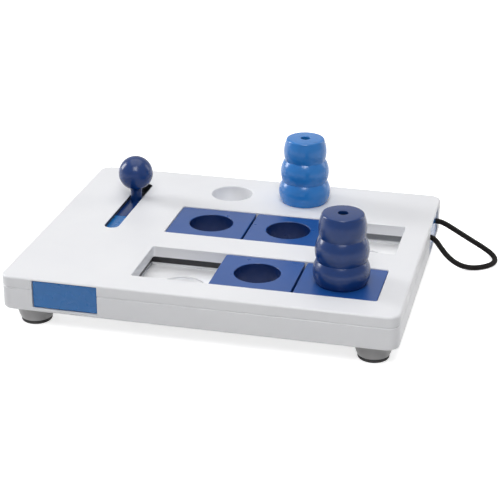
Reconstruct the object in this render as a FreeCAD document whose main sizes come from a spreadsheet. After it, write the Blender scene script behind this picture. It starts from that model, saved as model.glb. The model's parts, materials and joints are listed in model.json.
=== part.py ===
import FreeCAD, Part
import math
import os

import Sketcher
from FreeCAD import Placement, Rotation, Vector

# Puzzle feeder for dogs: a flat white case on four feet, with two tracks of sliding tiles, two treat
# wells, two ringed cones that plug the wells, a drawer that a ball lever pushes out at the front and a
# drawer with a rope pull at the right.
# Millimetres. X runs to the right, Y to the back, Z up. The table is z = 0 and the origin lies under the
# middle of the case.

SIZES = {
    # case
    "case_length": 250.0,
    "case_width": 200.0,
    "case_top": 35.5,
    "parting_level": 28.2,
    "case_under": 13.5,
    "case_corner": 8.0,
    "top_edge_round": 1.4,
    "under_edge_round": 1.0,
    "parting_bevel": 0.5,
    "case_wall": 2.4,
    "top_skin": 2.4,
    "floor_skin": 2.4,
    "lip_wall": 1.1,
    "lip_rise": 1.6,
    # tile tracks
    "track_left": -45.5,
    "track_right": 108.5,
    "track_width": 46.6,
    "back_track_middle": 14.9,
    "front_track_middle": -56.2,
    "track_corner": 1.6,
    "rim_wall": 1.8,
    "side_undercut": 5.4,
    "end_undercut": 3.0,
    "channel_wall": 1.6,
    "channel_top": 32.9,
    "bed_level": 20.0,
    "bed_skin": 2.6,
    "recess_radius": 15.0,
    "recess_depth": 1.2,
    "recess_first": -19.8,
    "recess_pitch": 51.3,
    "cavity_length": 46.0,
    "cavity_width": 39.0,
    # tiles
    "tile_length": 51.5,
    "tile_width": 45.9,
    "tile_foot": 20.3,
    "tile_top": 35.0,
    "tile_skin": 2.2,
    "tile_wall": 2.0,
    "tile_corner": 1.6,
    "tile_edge_round": 0.5,
    "tile_hole_radius": 14.6,
    "tile_tube_wall": 1.8,
    "hole_edge_round": 0.6,
    "runner_width": 2.5,
    "runner_length": 45.0,
    "runner_low": 25.6,
    "runner_high": 27.8,
    "tile_back_left": -19.45,
    "tile_back_middle": 33.4,
    "tile_front_middle": 29.5,
    "tile_front_right": 82.45,
    # wells
    "well_radius": 14.1,
    "well_depth": 14.0,
    "well_wall": 1.8,
    "well_row": 69.0,
    "well_left": -18.9,
    "well_right": 33.0,
    # cones
    "cone_height": 45.7,
    "cone_gap": 0.1,
    "cone_spigot_radius": 13.7,
    "cone_spigot_drop": 2.5,
    "cone_seat_radius": 15.6,
    "cone_low_crease_level": 15.2,
    "cone_low_crease_radius": 15.4,
    "cone_high_crease_level": 30.4,
    "cone_high_crease_radius": 14.0,
    "cone_top_radius": 13.2,
    "cone_top_round": 1.6,
    "cone_low_swell": 14.0,
    "cone_middle_swell": 16.0,
    "cone_top_swell": 22.0,
    "cone_bore_foot": 12.3,
    "cone_bore_head": 10.4,
    "cone_skin": 2.2,
    "cone_vent_radius": 3.2,
    # lever drawer
    "lever_middle": -82.65,
    "lever_rest": 47.5,
    "slot_width": 10.0,
    "slot_front": -10.6,
    "slot_back": 73.0,
    "slot_corner": 4.7,
    "front_low": 16.3,
    "front_high": 34.2,
    "front_skin": 2.2,
    "front_recess": 0.8,
    "front_clear": 0.4,
    "front_edge_round": 0.6,
    "lever_front_left": -103.0,
    "lever_front_right": -61.5,
    "lever_box_back": -45.0,
    "box_low": 16.6,
    "box_high": 30.0,
    "box_wall": 1.8,
    "box_step": 0.5,
    "tongue_width": 17.7,
    "tongue_back": 53.0,
    "tongue_top": 32.7,
    "tongue_skin": 1.8,
    "seat_width": 14.0,
    "seat_front": 17.0,
    "seat_depth": 2.0,
    "seat_clear": 0.3,
    # lever
    "ball_radius": 11.9,
    "ball_level": 53.1,
    "stem_radius": 4.0,
    "neck_radius": 7.5,
    "neck_drop": 4.0,
    "neck_hollow": 4.2,
    "peg_radius": 3.2,
    "peg_low": 26.5,
    "peg_front": 26.0,
    "peg_hole_clear": 0.2,
    # rope drawer
    "rope_front_near": 40.0,
    "rope_front_far": 81.2,
    "rope_box_near": 46.4,
    "rope_box_far": 76.6,
    "rope_box_end": 60.0,
    "rope_head_start": 114.8,
    "rope_head_margin": 0.6,
    "rope_box_high": 27.8,
    "stop_near": 50.0,
    "stop_far": 70.0,
    "stop_high": 32.4,
    "stop_rib_inner": 110.2,
    "stop_rib_wall": 2.0,
    "stop_rib_low": 29.5,
    "rope_near": 46.2,
    "rope_far": 75.4,
    "rope_level": 26.5,
    "rope_diameter": 3.8,
    "rope_hole_radius": 2.3,
    "knot_radius": 3.3,
    "knot_flat": 2.1,
    # guides inside the case
    "guide_wall": 1.8,
    "guide_high": 26.0,
    "guide_low": 22.0,
    # feet
    "foot_across": 108.0,
    "foot_deep": 82.5,
    "foot_radius": 11.75,
    "foot_toe_radius": 10.0,
    "foot_shoulder": 12.0,
    "foot_swell": 16.0,
    "foot_wall": 2.0,
    "foot_skin": 3.2,
    "pad_thickness": 2.8,
    "pad_radius": 9.8,
    "pad_round": 1.3,
    "pad_plug_radius": 7.7,
    "pad_plug_high": 5.0,
    "foot_boss_radius": 4.5,
    "foot_boss_high": 19.6,
    "foot_relief_radius": 4.8,
    "foot_pilot_high": 18.8,
    # screws
    "boss_radius": 4.6,
    "boss_high": 24.0,
    "post_radius": 3.6,
    "post_gap": 0.2,
    "pilot_radius": 1.5,
    "pilot_high": 31.5,
    "shank_hole_radius": 1.7,
    "counterbore_radius": 3.1,
    "counterbore_high": 18.0,
    "shank_radius": 1.45,
    "head_radius": 2.8,
    "head_height": 2.0,
    "foot_head_radius": 3.4,
    "foot_head_height": 2.3,
    "foot_screw_high": 18.4,
    "case_screw_high": 30.5,
    "lever_screw_high": 31.8,
    "lever_head_radius": 3.9,
    "lever_head_height": 1.8,
}

# Places of the six screws that close the case, as (across, deep).
CASE_SCREWS = {
    "left": (-113.8, 10.0),
    "inner": (-55.2, -20.8),
    "front": (31.5, -91.8),
    "middle": (31.5, -20.8),
    "rear": (6.7, 90.5),
    "right": (80.0, 89.5),
}

# Signs of the four feet, as (across, deep).
FEET = {
    "front_left": (-1, -1),
    "front_right": (1, -1),
    "back_left": (-1, 1),
    "back_right": (1, 1),
}

# The rope's route outside the drawer, as (across, deep, level): out of the near hole, down to the table,
# round the tip of the loop and up again to the far hole.
ROPE_ROUTE = [
    (122.0, 46.2, 26.5),
    (125.4, 46.2, 26.5),
    (128.6, 46.4, 23.8),
    (131.6, 47.4, 19.0),
    (135.2, 49.6, 13.2),
    (140.0, 52.2, 7.6),
    (146.2, 54.8, 3.4),
    (153.0, 57.0, 1.95),
    (160.0, 60.4, 1.95),
    (165.4, 66.4, 1.95),
    (167.2, 73.8, 1.95),
    (164.4, 80.4, 3.2),
    (158.0, 82.4, 6.6),
    (150.6, 80.8, 11.4),
    (143.4, 78.4, 16.6),
    (136.6, 76.4, 21.4),
    (130.6, 75.4, 25.2),
    (126.2, 75.4, 26.5),
    (122.0, 75.4, 26.5),
]
ARC_SHARE = 0.45

NEAR = 1e-4
BEYOND = 3.0


class Size:
    """A length that knows its number and the sheet formula that it comes from."""

    def __init__(self, number, formula):
        self.number = number
        self.formula = formula

    def __add__(self, other):
        other = as_size(other)
        return Size(self.number + other.number, "(%s + %s)" % (self.formula, other.formula))

    def __sub__(self, other):
        other = as_size(other)
        return Size(self.number - other.number, "(%s - %s)" % (self.formula, other.formula))

    def __rsub__(self, other):
        return as_size(other) - self

    def __mul__(self, other):
        other = as_size(other)
        return Size(self.number * other.number, "(%s * %s)" % (self.formula, other.formula))

    def __neg__(self):
        return Size(-self.number, "(-1 * %s)" % self.formula)

    __radd__ = __add__
    __rmul__ = __mul__


def as_size(value):
    """A plain number becomes a size whose formula is that number."""
    if isinstance(value, Size):
        return value
    return Size(float(value), "(%s)" % float(value))


class Sizes:
    """Every cell of the sheet, as an attribute."""

    def __init__(self, cells):
        for alias, number in cells.items():
            setattr(self, alias, Size(number, "Sizes.%s" % alias))


def all_cells():
    """The driving sizes and the screw places, in one table."""
    cells = dict(SIZES)
    for name, (across, deep) in CASE_SCREWS.items():
        cells["screw_%s_across" % name] = across
        cells["screw_%s_deep" % name] = deep
    return cells


def fill_sheet(doc, cells):
    sheet = doc.addObject("Spreadsheet::Sheet", "Sizes")
    for row, (alias, number) in enumerate(cells.items(), 1):
        sheet.set("A%d" % row, alias)
        sheet.set("B%d" % row, str(number))
        sheet.setAlias("B%d" % row, alias)
    doc.recompute()


# Sketches

def origin_plane(body, role):
    return [feature for feature in body.Origin.OriginFeatures if feature.Role == role][0]


def new_sketch(body, name, plane="XY_Plane", level=None):
    """A sketch on one of the body's own planes, raised to a level."""
    sketch = body.newObject("Sketcher::SketchObject", name)
    sketch.AttachmentSupport = [(origin_plane(body, plane), "")]
    sketch.MapMode = "FlatFace"
    if level is not None:
        sketch.setExpression("AttachmentOffset.Base.z", as_size(level).formula)
    return sketch


def bind(sketch, constraint, size):
    index = sketch.addConstraint(constraint)
    sketch.setExpression("Constraints[%d]" % index, size.formula)


def bind_point(sketch, piece, end, across, up):
    bind(sketch, Sketcher.Constraint("DistanceX", -1, 1, piece, end, across.number), across)
    bind(sketch, Sketcher.Constraint("DistanceY", -1, 1, piece, end, up.number), up)


def arc_between(start, end, radius, side):
    """The arc of a radius from start to end that swells to the right of the way (side 1) or left (-1)."""
    chord = end - start
    half = chord.Length / 2
    rise = radius - math.sqrt(radius * radius - half * half)
    right = Vector(chord.y, -chord.x, 0).normalize()
    return Part.Arc(start, (start + end) / 2 + right * (rise * side), end)


def outline(sketch, corners):
    """A closed outline that runs anticlockwise. A corner is (across, up), or (across, up, radius, side)
    where an arc leads to the next one."""
    pieces = []
    for index, corner in enumerate(corners):
        following = corners[(index + 1) % len(corners)]
        start = Vector(corner[0].number, corner[1].number, 0)
        end = Vector(following[0].number, following[1].number, 0)
        if len(corner) == 4:
            piece = sketch.addGeometry(arc_between(start, end, corner[2].number, corner[3]))
        else:
            piece = sketch.addGeometry(Part.LineSegment(start, end))
        starts_first = (sketch.getPoint(piece, 1) - start).Length < NEAR
        pieces.append((piece, 1 if starts_first else 2, 2 if starts_first else 1))
    for index, (piece, first, last) in enumerate(pieces):
        after, after_first, after_last = pieces[(index + 1) % len(pieces)]
        sketch.addConstraint(Sketcher.Constraint("Coincident", piece, last, after, after_first))
        bind_point(sketch, piece, first, corners[index][0], corners[index][1])
        if len(corners[index]) == 4:
            radius = corners[index][2]
            bind(sketch, Sketcher.Constraint("Radius", piece, radius.number), radius)


def rect(left, right, front, back, corner=None):
    """A drawer of a rectangle, with round corners if a corner radius is given."""
    left, right, front, back = (as_size(edge) for edge in (left, right, front, back))

    def draw(sketch):
        if corner is None:
            outline(sketch, [(left, front), (right, front), (right, back), (left, back)])
            return
        outline(sketch, [
            (left + corner, front),
            (right - corner, front, corner, 1),
            (right, front + corner),
            (right, back - corner, corner, 1),
            (right - corner, back),
            (left + corner, back, corner, 1),
            (left, back - corner),
            (left, front + corner, corner, 1),
        ])
    return draw


def disc(across, deep, radius):
    """A drawer of a circle."""
    across, deep, radius = as_size(across), as_size(deep), as_size(radius)

    def draw(sketch):
        middle = Vector(across.number, deep.number, 0)
        piece = sketch.addGeometry(Part.Circle(middle, Vector(0, 0, 1), radius.number))
        bind_point(sketch, piece, 3, across, deep)
        bind(sketch, Sketcher.Constraint("Radius", piece, radius.number), radius)
    return draw


# Features

def add(body, name, low, high, *shapes):
    """Material between two levels, over the shapes drawn."""
    sketch = new_sketch(body, name + "Sketch", level=low)
    for draw in shapes:
        draw(sketch)
    feature = body.newObject("PartDesign::Pad", name)
    feature.Profile = sketch
    feature.setExpression("Length", (as_size(high) - low).formula)
    return feature


def cut(body, name, low, high, *shapes):
    """A pocket between two levels, under the shapes drawn."""
    before = body_volume(body)
    sketch = new_sketch(body, name + "Sketch", level=high)
    for draw in shapes:
        draw(sketch)
    feature = body.newObject("PartDesign::Pocket", name)
    feature.Profile = sketch
    feature.setExpression("Length", (as_size(high) - low).formula)
    if body_volume(body) >= before - NEAR:
        raise ValueError("%s cuts nothing" % name)
    return feature


def turn(body, name, corners):
    """A solid turned about the body's upright axis, from an outline of (radius, level) corners."""
    sketch = new_sketch(body, name + "Sketch", plane="XZ_Plane")
    outline(sketch, corners)
    feature = body.newObject("PartDesign::Revolution", name)
    feature.Profile = sketch
    feature.ReferenceAxis = (sketch, ["V_Axis"])
    feature.Angle = 360
    return feature


def body_volume(body):
    body.Document.recompute()
    return body.Shape.Volume


def dress(body, kind, name, size, chosen):
    """A fillet or chamfer on the edges of the body's last feature that a test chooses."""
    body.Document.recompute()
    last = body.Tip
    names = ["Edge%d" % (index + 1) for index, edge in enumerate(last.Shape.Edges) if chosen(edge)]
    if not names:
        raise ValueError("%s finds no edges" % name)
    feature = body.newObject("PartDesign::" + kind, name)
    feature.Base = (last, names)
    feature.setExpression("Radius" if kind == "Fillet" else "Size", size.formula)
    return feature


def lies_at(edge, level):
    box = edge.BoundBox
    return abs(box.ZMin - level.number) < 1e-3 and abs(box.ZMax - level.number) < 1e-3


def within(edge, left, right, front, back):
    """True where an edge stays inside a plan rectangle, with a little room round it."""
    box = edge.BoundBox
    room = 0.02
    across = box.XMin > left.number - room and box.XMax < right.number + room
    return across and box.YMin > front.number - room and box.YMax < back.number + room


def new_body(doc, name):
    body = doc.addObject("PartDesign::Body", name)
    body.Label = name
    return body


def put(piece, across, deep, level=0.0):
    """Binds a piece's place to the sheet."""
    for axis, size in zip("xyz", (across, deep, level)):
        piece.setExpression("Placement.Base.%s" % axis, as_size(size).formula)


# Case

def track_edges(dim, middle, margin):
    """Left, right, front and back of a track's window, grown by a margin on every side."""
    half = dim.track_width * 0.5 + margin
    return (dim.track_left - margin, dim.track_right + margin, middle - half, middle + half)


def channel_edges(dim, middle, margin):
    """Left, right, front and back of the channel that a track's tiles run in, grown by a margin."""
    half = dim.track_width * 0.5 + dim.side_undercut + margin
    ends = dim.end_undercut + margin
    return (dim.track_left - ends, dim.track_right + ends, middle - half, middle + half)


def case_edges(dim, inset):
    half_length = dim.case_length * 0.5 - inset
    half_width = dim.case_width * 0.5 - inset
    return (-half_length, half_length, -half_width, half_width)


def case_outline(dim, inset):
    return rect(*case_edges(dim, inset), corner=dim.case_corner - inset)


def screw_places(dim):
    return [(getattr(dim, "screw_%s_across" % name), getattr(dim, "screw_%s_deep" % name))
            for name in CASE_SCREWS]


def foot_places(dim):
    return {name: (dim.foot_across * across, dim.foot_deep * deep)
            for name, (across, deep) in FEET.items()}


def front_opening(dim):
    """Plan of the opening for the lever drawer in the front wall."""
    return rect(dim.lever_front_left - dim.front_clear, dim.lever_front_right + dim.front_clear,
                -(dim.case_width * 0.5 + BEYOND), front_face(dim) + dim.front_skin + dim.front_clear)


def side_opening(dim):
    """Plan of the opening for the rope drawer in the right wall."""
    return rect(side_face(dim) - dim.front_skin - dim.front_clear, dim.case_length * 0.5 + BEYOND,
                dim.rope_front_near - dim.front_clear, dim.rope_front_far + dim.front_clear)


def front_face(dim):
    """Y of the lever drawer's front face."""
    return dim.front_recess - dim.case_width * 0.5


def side_face(dim):
    """X of the rope drawer's front face."""
    return dim.case_length * 0.5 - dim.front_recess


def base_shell(doc, dim):
    """The open tub under the parting line, with its screw bosses and the drawers' guides."""
    body = new_body(doc, "base_shell")
    floor = dim.case_under + dim.floor_skin
    add(body, "Tub", dim.case_under, dim.parting_level, case_outline(dim, 0.0))
    dress(body, "Fillet", "UnderRound", dim.under_edge_round, lambda edge: lies_at(edge, dim.case_under))
    dress(body, "Chamfer", "PartingBevel", dim.parting_bevel,
          lambda edge: lies_at(edge, dim.parting_level))
    cut(body, "Inside", floor, dim.parting_level, case_outline(dim, dim.case_wall))
    add(body, "Lip", floor, dim.parting_level + dim.lip_rise,
        case_outline(dim, dim.case_wall - dim.lip_wall), case_outline(dim, dim.case_wall))
    add(body, "FootBosses", floor, dim.foot_boss_high,
        *[disc(across, deep, dim.foot_boss_radius) for across, deep in foot_places(dim).values()])
    add(body, "Bosses", floor, dim.boss_high,
        *[disc(across, deep, dim.boss_radius) for across, deep in screw_places(dim)])
    add_guides(body, dim, floor)
    cut(body, "FrontOpening", dim.front_low - dim.front_clear, dim.channel_top, front_opening(dim))
    cut(body, "SideOpening", dim.front_low - dim.front_clear, dim.channel_top, side_opening(dim))
    drill_base(body, dim)
    return body


def track(doc, dim, name, middle, reliefs=()):
    """A tray that stands on the tub's floor: the bed that two tiles slide on, three shallow treat recesses
    in it, and the channel wall that their runners slide inside. Cavities keep the bed thin, and reliefs
    clear the bosses of the feet."""
    body = new_body(doc, name)
    low = dim.case_under + dim.floor_skin
    add(body, "Tray", low, dim.channel_top,
        rect(*channel_edges(dim, middle, dim.channel_wall), corner=dim.track_corner))
    cut(body, "Bed", dim.bed_level, dim.channel_top, rect(*channel_edges(dim, middle, 0.0)))
    spots = [dim.recess_first + dim.recess_pitch * step for step in range(3)]
    cut(body, "Recesses", dim.bed_level - dim.recess_depth, dim.bed_level,
        *[disc(across, middle, dim.recess_radius) for across in spots])
    half_length = dim.cavity_length * 0.5
    half_width = dim.cavity_width * 0.5
    cut(body, "Cavities", low, dim.bed_level - dim.bed_skin,
        *[rect(across - half_length, across + half_length, middle - half_width, middle + half_width)
          for across in spots])
    if reliefs:
        cut(body, "FootReliefs", low, dim.bed_level,
            *[disc(across, deep, dim.foot_relief_radius) for across, deep in reliefs])
    return body


def add_guides(body, dim, floor):
    """Ribs on the floor that lead and stop the two drawers."""
    case_front = dim.case_wall - dim.case_width * 0.5
    left = dim.lever_front_left - dim.front_clear
    right = dim.lever_front_right + dim.front_clear
    add(body, "LeverGuides", floor, dim.guide_high,
        rect(left - dim.guide_wall, left, case_front, dim.lever_box_back + 6.0),
        rect(right, right + dim.guide_wall, case_front, dim.lever_box_back + 6.0))
    half = dim.tongue_width * 0.25
    stop = dim.lever_box_back + dim.front_clear
    add(body, "LeverStop", floor, dim.guide_low,
        rect(dim.lever_middle - half, dim.lever_middle + half, stop, stop + dim.guide_wall))
    far = dim.rope_box_far + dim.front_clear
    add(body, "RopeGuide", floor, dim.guide_low,
        rect(dim.rope_box_end, dim.foot_across, far, far + dim.guide_wall))
    end = dim.rope_box_end - dim.front_clear
    add(body, "RopeStop", floor, dim.guide_low,
        rect(end - dim.guide_wall, end, dim.stop_near, dim.stop_far))


def drill_base(body, dim):
    """Screw holes: counterbored from below for the case, blind for the feet."""
    places = screw_places(dim)
    cut(body, "Counterbores", dim.case_under, dim.counterbore_high,
        *[disc(across, deep, dim.counterbore_radius) for across, deep in places])
    cut(body, "ShankHoles", dim.counterbore_high, dim.boss_high,
        *[disc(across, deep, dim.shank_hole_radius) for across, deep in places])
    cut(body, "FootPilots", dim.case_under, dim.foot_pilot_high,
        *[disc(across, deep, dim.pilot_radius) for across, deep in foot_places(dim).values()])


def cover_blank(doc, dim, name):
    """The whole lid without its holes for wells and lever: top plate, skirt, and the rims that hang round
    the two tile windows and keep the tiles from being lifted out. Each panel is trimmed from it."""
    body = new_body(doc, name)
    add(body, "Lid", dim.parting_level, dim.case_top, case_outline(dim, 0.0))
    dress(body, "Fillet", "TopRound", dim.top_edge_round, lambda edge: lies_at(edge, dim.case_top))
    dress(body, "Chamfer", "PartingBevel", dim.parting_bevel,
          lambda edge: lies_at(edge, dim.parting_level))
    cut(body, "Inside", dim.parting_level, plate_under(dim), case_outline(dim, dim.case_wall))
    cut(body, "LipGroove", dim.parting_level, dim.parting_level + dim.lip_rise + dim.post_gap,
        case_outline(dim, dim.case_wall - dim.lip_wall - dim.post_gap),
        case_outline(dim, dim.case_wall))
    middles = (dim.back_track_middle, dim.front_track_middle)
    add(body, "Rims", dim.parting_level, plate_under(dim),
        *[rect(*track_edges(dim, middle, dim.rim_wall)) for middle in middles])
    cut(body, "Windows", dim.parting_level, dim.case_top,
        *[rect(*track_edges(dim, middle, 0.0), corner=dim.track_corner) for middle in middles])
    windows = [track_edges(dim, middle, 0.0) for middle in middles]
    dress(body, "Fillet", "WindowRound", dim.tile_edge_round,
          lambda edge: lies_at(edge, dim.case_top) and any(within(edge, *window) for window in windows))
    return body


def plate_under(dim):
    return dim.case_top - dim.top_skin


def panel_edges(dim):
    """The lid's panels meet on two lines across it, just inside the ends of the windows."""
    return dim.track_left + dim.track_corner, dim.track_right - dim.track_corner


def trim(body, dim, left=None, right=None, front=None, back=None):
    """Cuts away all of the lid beyond the given lines."""
    far = dim.case_length * 0.5 + BEYOND
    high = dim.case_top
    low = dim.parting_level
    if left is not None:
        cut(body, "TrimLeft", low, high, rect(-far, left, -far, far))
    if right is not None:
        cut(body, "TrimRight", low, high, rect(right, far, -far, far))
    if front is not None:
        cut(body, "TrimFront", low, high, rect(-far, far, -far, front))
    if back is not None:
        cut(body, "TrimBack", low, high, rect(-far, far, back, far))


def cover_left(doc, dim):
    """The panel with the lever's slot, over the lever drawer."""
    body = cover_blank(doc, dim, "cover_left")
    trim(body, dim, right=panel_edges(dim)[0])
    under = plate_under(dim)
    half = dim.slot_width * 0.5
    middle = dim.lever_middle
    front, back = dim.slot_front, dim.slot_back
    cut(body, "LeverSlot", under, dim.case_top,
        rect(middle - half, middle + half, front, back, corner=dim.slot_corner))
    gap = half + 8.0
    add(body, "Stiffeners", under - 2.6, under,
        rect(middle - gap - dim.rim_wall, middle - gap, front, back),
        rect(middle + gap, middle + gap + dim.rim_wall, front, back))
    add_posts(body, dim, "left", "inner")
    cut(body, "FrontOpening", dim.parting_level, dim.front_high + 0.3, front_opening(dim))
    return body


def cover_right(doc, dim):
    """The narrow panel at the right, with the rib that stops the rope drawer."""
    body = cover_blank(doc, dim, "cover_right")
    trim(body, dim, left=panel_edges(dim)[1])
    add(body, "StopRib", dim.stop_rib_low, plate_under(dim),
        rect(dim.stop_rib_inner, dim.stop_rib_inner + dim.stop_rib_wall, dim.stop_near, dim.stop_far))
    cut(body, "SideOpening", dim.parting_level, dim.front_high + 0.3, side_opening(dim))
    return body


def cover_front(doc, dim):
    """The strip before the front window."""
    body = cover_blank(doc, dim, "cover_front")
    left, right = panel_edges(dim)
    trim(body, dim, left=left, right=right, back=dim.front_track_middle)
    add_posts(body, dim, "front")
    return body


def cover_middle(doc, dim):
    """The strip between the two windows."""
    body = cover_blank(doc, dim, "cover_middle")
    left, right = panel_edges(dim)
    trim(body, dim, left=left, right=right, front=dim.front_track_middle, back=dim.back_track_middle)
    add_posts(body, dim, "middle")
    return body


def cover_back(doc, dim, name, left, right, wells, posts):
    """A panel behind the back window, between two lines across the lid. The panels meet on the middles of
    the wells, so each has half of a hole for a well cup at the edge where it meets the next."""
    body = cover_blank(doc, dim, name)
    trim(body, dim, left=left, right=right, front=dim.back_track_middle)
    cut(body, "WellHoles", plate_under(dim), dim.case_top,
        *[disc(across, dim.well_row, dim.well_radius + dim.well_wall) for across in wells])
    if posts:
        add_posts(body, dim, *posts)
    return body


def well_cup(doc, dim, name, across):
    """A deep cup for treats, flush with the lid, that a cone can close."""
    body = new_body(doc, name)
    zero = as_size(0.0)
    bottom = dim.case_top - dim.well_depth
    outer = dim.well_radius + dim.well_wall
    turn(body, "Cup", [
        (zero, bottom - dim.well_wall),
        (outer, bottom - dim.well_wall),
        (outer, dim.case_top),
        (dim.well_radius, dim.case_top),
        (dim.well_radius, bottom),
        (zero, bottom),
    ])
    reach = dim.well_radius
    dress(body, "Fillet", "WellRound", dim.hole_edge_round,
          lambda edge: lies_at(edge, dim.case_top) and within(edge, -reach, reach, -reach, reach))
    put(body, across, dim.well_row)
    return body


def add_posts(body, dim, *names):
    """Posts that the case screws bite into."""
    low = dim.boss_high + dim.post_gap
    places = [(getattr(dim, "screw_%s_across" % name), getattr(dim, "screw_%s_deep" % name))
              for name in names]
    add(body, "Posts", low, plate_under(dim),
        *[disc(across, deep, dim.post_radius) for across, deep in places])
    cut(body, "Pilots", low, dim.pilot_high,
        *[disc(across, deep, dim.pilot_radius) for across, deep in places])


# Tiles and cones

def tile(doc, dim, name, across, deep):
    """A sliding tile: a shallow lid with a tube round its hole and runners under the window rims."""
    body = new_body(doc, name)
    half_length, half_width = dim.tile_length * 0.5, dim.tile_width * 0.5
    add(body, "Block", dim.tile_foot, dim.tile_top,
        rect(-half_length, half_length, -half_width, half_width, corner=dim.tile_corner))
    dress(body, "Fillet", "EdgeRound", dim.tile_edge_round, lambda edge: lies_at(edge, dim.tile_top))
    cut(body, "Hollow", dim.tile_foot, dim.tile_top - dim.tile_skin,
        rect(dim.tile_wall - half_length, half_length - dim.tile_wall,
             dim.tile_wall - half_width, half_width - dim.tile_wall),
        disc(0.0, 0.0, dim.tile_hole_radius + dim.tile_tube_wall))
    cut(body, "Hole", dim.tile_foot, dim.tile_top, disc(0.0, 0.0, dim.tile_hole_radius))
    reach = dim.tile_hole_radius
    dress(body, "Fillet", "HoleRound", dim.hole_edge_round,
          lambda edge: lies_at(edge, dim.tile_top) and within(edge, -reach, reach, -reach, reach))
    outer = half_width + dim.runner_width
    inner = half_width - dim.tile_wall * 0.5
    half_runner = dim.runner_length * 0.5
    add(body, "Runners", dim.runner_low, dim.runner_high,
        rect(-half_runner, half_runner, -outer, -inner),
        rect(-half_runner, half_runner, inner, outer))
    put(body, across, deep)
    return body


def cone(doc, dim, name, across, deep, seat):
    """A hollow stopper of three swelling rings, open underneath, with a vent in its flat top."""
    body = new_body(doc, name)
    zero = as_size(0.0)
    drop = -dim.cone_spigot_drop
    round_foot = dim.cone_height - dim.cone_top_round
    turn(body, "Rings", [
        (dim.cone_bore_foot, drop),
        (dim.cone_spigot_radius, drop),
        (dim.cone_spigot_radius, zero),
        (dim.cone_seat_radius, zero, dim.cone_low_swell, 1),
        (dim.cone_low_crease_radius, dim.cone_low_crease_level, dim.cone_middle_swell, 1),
        (dim.cone_high_crease_radius, dim.cone_high_crease_level, dim.cone_top_swell, 1),
        (dim.cone_top_radius, round_foot, dim.cone_top_round, 1),
        (dim.cone_top_radius - dim.cone_top_round, dim.cone_height),
        (dim.cone_vent_radius, dim.cone_height),
        (dim.cone_vent_radius, dim.cone_height - dim.cone_skin),
        (dim.cone_bore_head, dim.cone_height - dim.cone_skin),
    ])
    put(body, across, deep, seat + dim.cone_gap)
    return body


# Lever drawer

def lever_drawer(doc, dim):
    """The front drawer: a treat box with a long tongue that carries the lever."""
    body = new_body(doc, "lever_drawer")
    face = front_face(dim)
    box_front = face + dim.front_skin
    left, right = dim.lever_front_left, dim.lever_front_right
    add(body, "Front", dim.front_low, dim.front_high, rect(left, right, face, box_front))
    dress(body, "Fillet", "FrontRound", dim.front_edge_round,
          lambda edge: abs(edge.BoundBox.YMax - face.number) < 1e-3)
    add(body, "Box", dim.box_low, dim.box_high,
        rect(left + dim.box_step, right - dim.box_step, box_front, dim.lever_box_back))
    half = dim.tongue_width * 0.5
    middle = dim.lever_middle
    wall = dim.box_wall
    add(body, "Tongue", dim.box_low, dim.tongue_top,
        rect(middle - half, middle + half, dim.lever_box_back - wall, dim.tongue_back))
    cut(body, "TreatRoom", dim.box_low + wall, dim.box_high,
        rect(left + dim.box_step + wall, right - dim.box_step - wall, box_front,
             dim.lever_box_back - wall))
    half_seat = dim.seat_width * 0.5
    seat_low = dim.tongue_top - dim.seat_depth
    cut(body, "LeverSeat", seat_low, dim.tongue_top,
        rect(middle - half_seat, middle + half_seat, dim.seat_front, dim.tongue_back + BEYOND))
    cut(body, "TongueHollow", dim.box_low, seat_low - dim.tongue_skin,
        rect(middle - half + wall, middle + half - wall, dim.lever_box_back, dim.tongue_back + BEYOND))
    cut(body, "FrontHollow", seat_low - dim.tongue_skin, dim.tongue_top - dim.tongue_skin,
        rect(middle - half + wall, middle + half - wall, dim.lever_box_back, dim.seat_front - wall))
    cut(body, "PegHoles", seat_low - dim.tongue_skin, seat_low,
        *[disc(middle, deep, dim.peg_radius + dim.peg_hole_clear) for deep in peg_places(dim)])
    return body


def peg_places(dim):
    return (dim.peg_front, dim.lever_rest)


def lever(doc, dim):
    """The ball on its stem, with the foot plate that sits in the drawer's tongue."""
    body = new_body(doc, "lever")
    zero = as_size(0.0)
    foot = dim.tongue_top - dim.seat_depth
    ball_top = dim.ball_level + dim.ball_radius
    neck_rise = (dim.ball_radius.number ** 2 - dim.neck_radius.number ** 2) ** 0.5
    square = "sqrt(Sizes.ball_radius * Sizes.ball_radius - Sizes.neck_radius * Sizes.neck_radius)"
    neck_level = dim.ball_level - Size(neck_rise, square)
    turn(body, "Stem", [
        (zero, foot),
        (dim.stem_radius, foot),
        (dim.stem_radius, neck_level - dim.neck_drop, dim.neck_hollow, -1),
        (dim.neck_radius, neck_level, dim.ball_radius, 1),
        (zero, ball_top),
    ])
    half = dim.seat_width * 0.5 - dim.seat_clear
    add(body, "FootPlate", foot, dim.tongue_top,
        rect(-half, half, dim.seat_front + dim.seat_clear - dim.lever_rest,
             dim.tongue_back - dim.seat_clear - dim.lever_rest))
    add(body, "Pegs", dim.peg_low, foot + dim.seat_depth * 0.5,
        *[disc(0.0, deep - dim.lever_rest, dim.peg_radius) for deep in peg_places(dim)])
    cut(body, "PegPilots", dim.peg_low, dim.lever_screw_high + dim.post_gap,
        *[disc(0.0, deep - dim.lever_rest, dim.pilot_radius) for deep in peg_places(dim)])
    put(body, dim.lever_middle, dim.lever_rest)
    return body


# Rope drawer

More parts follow.
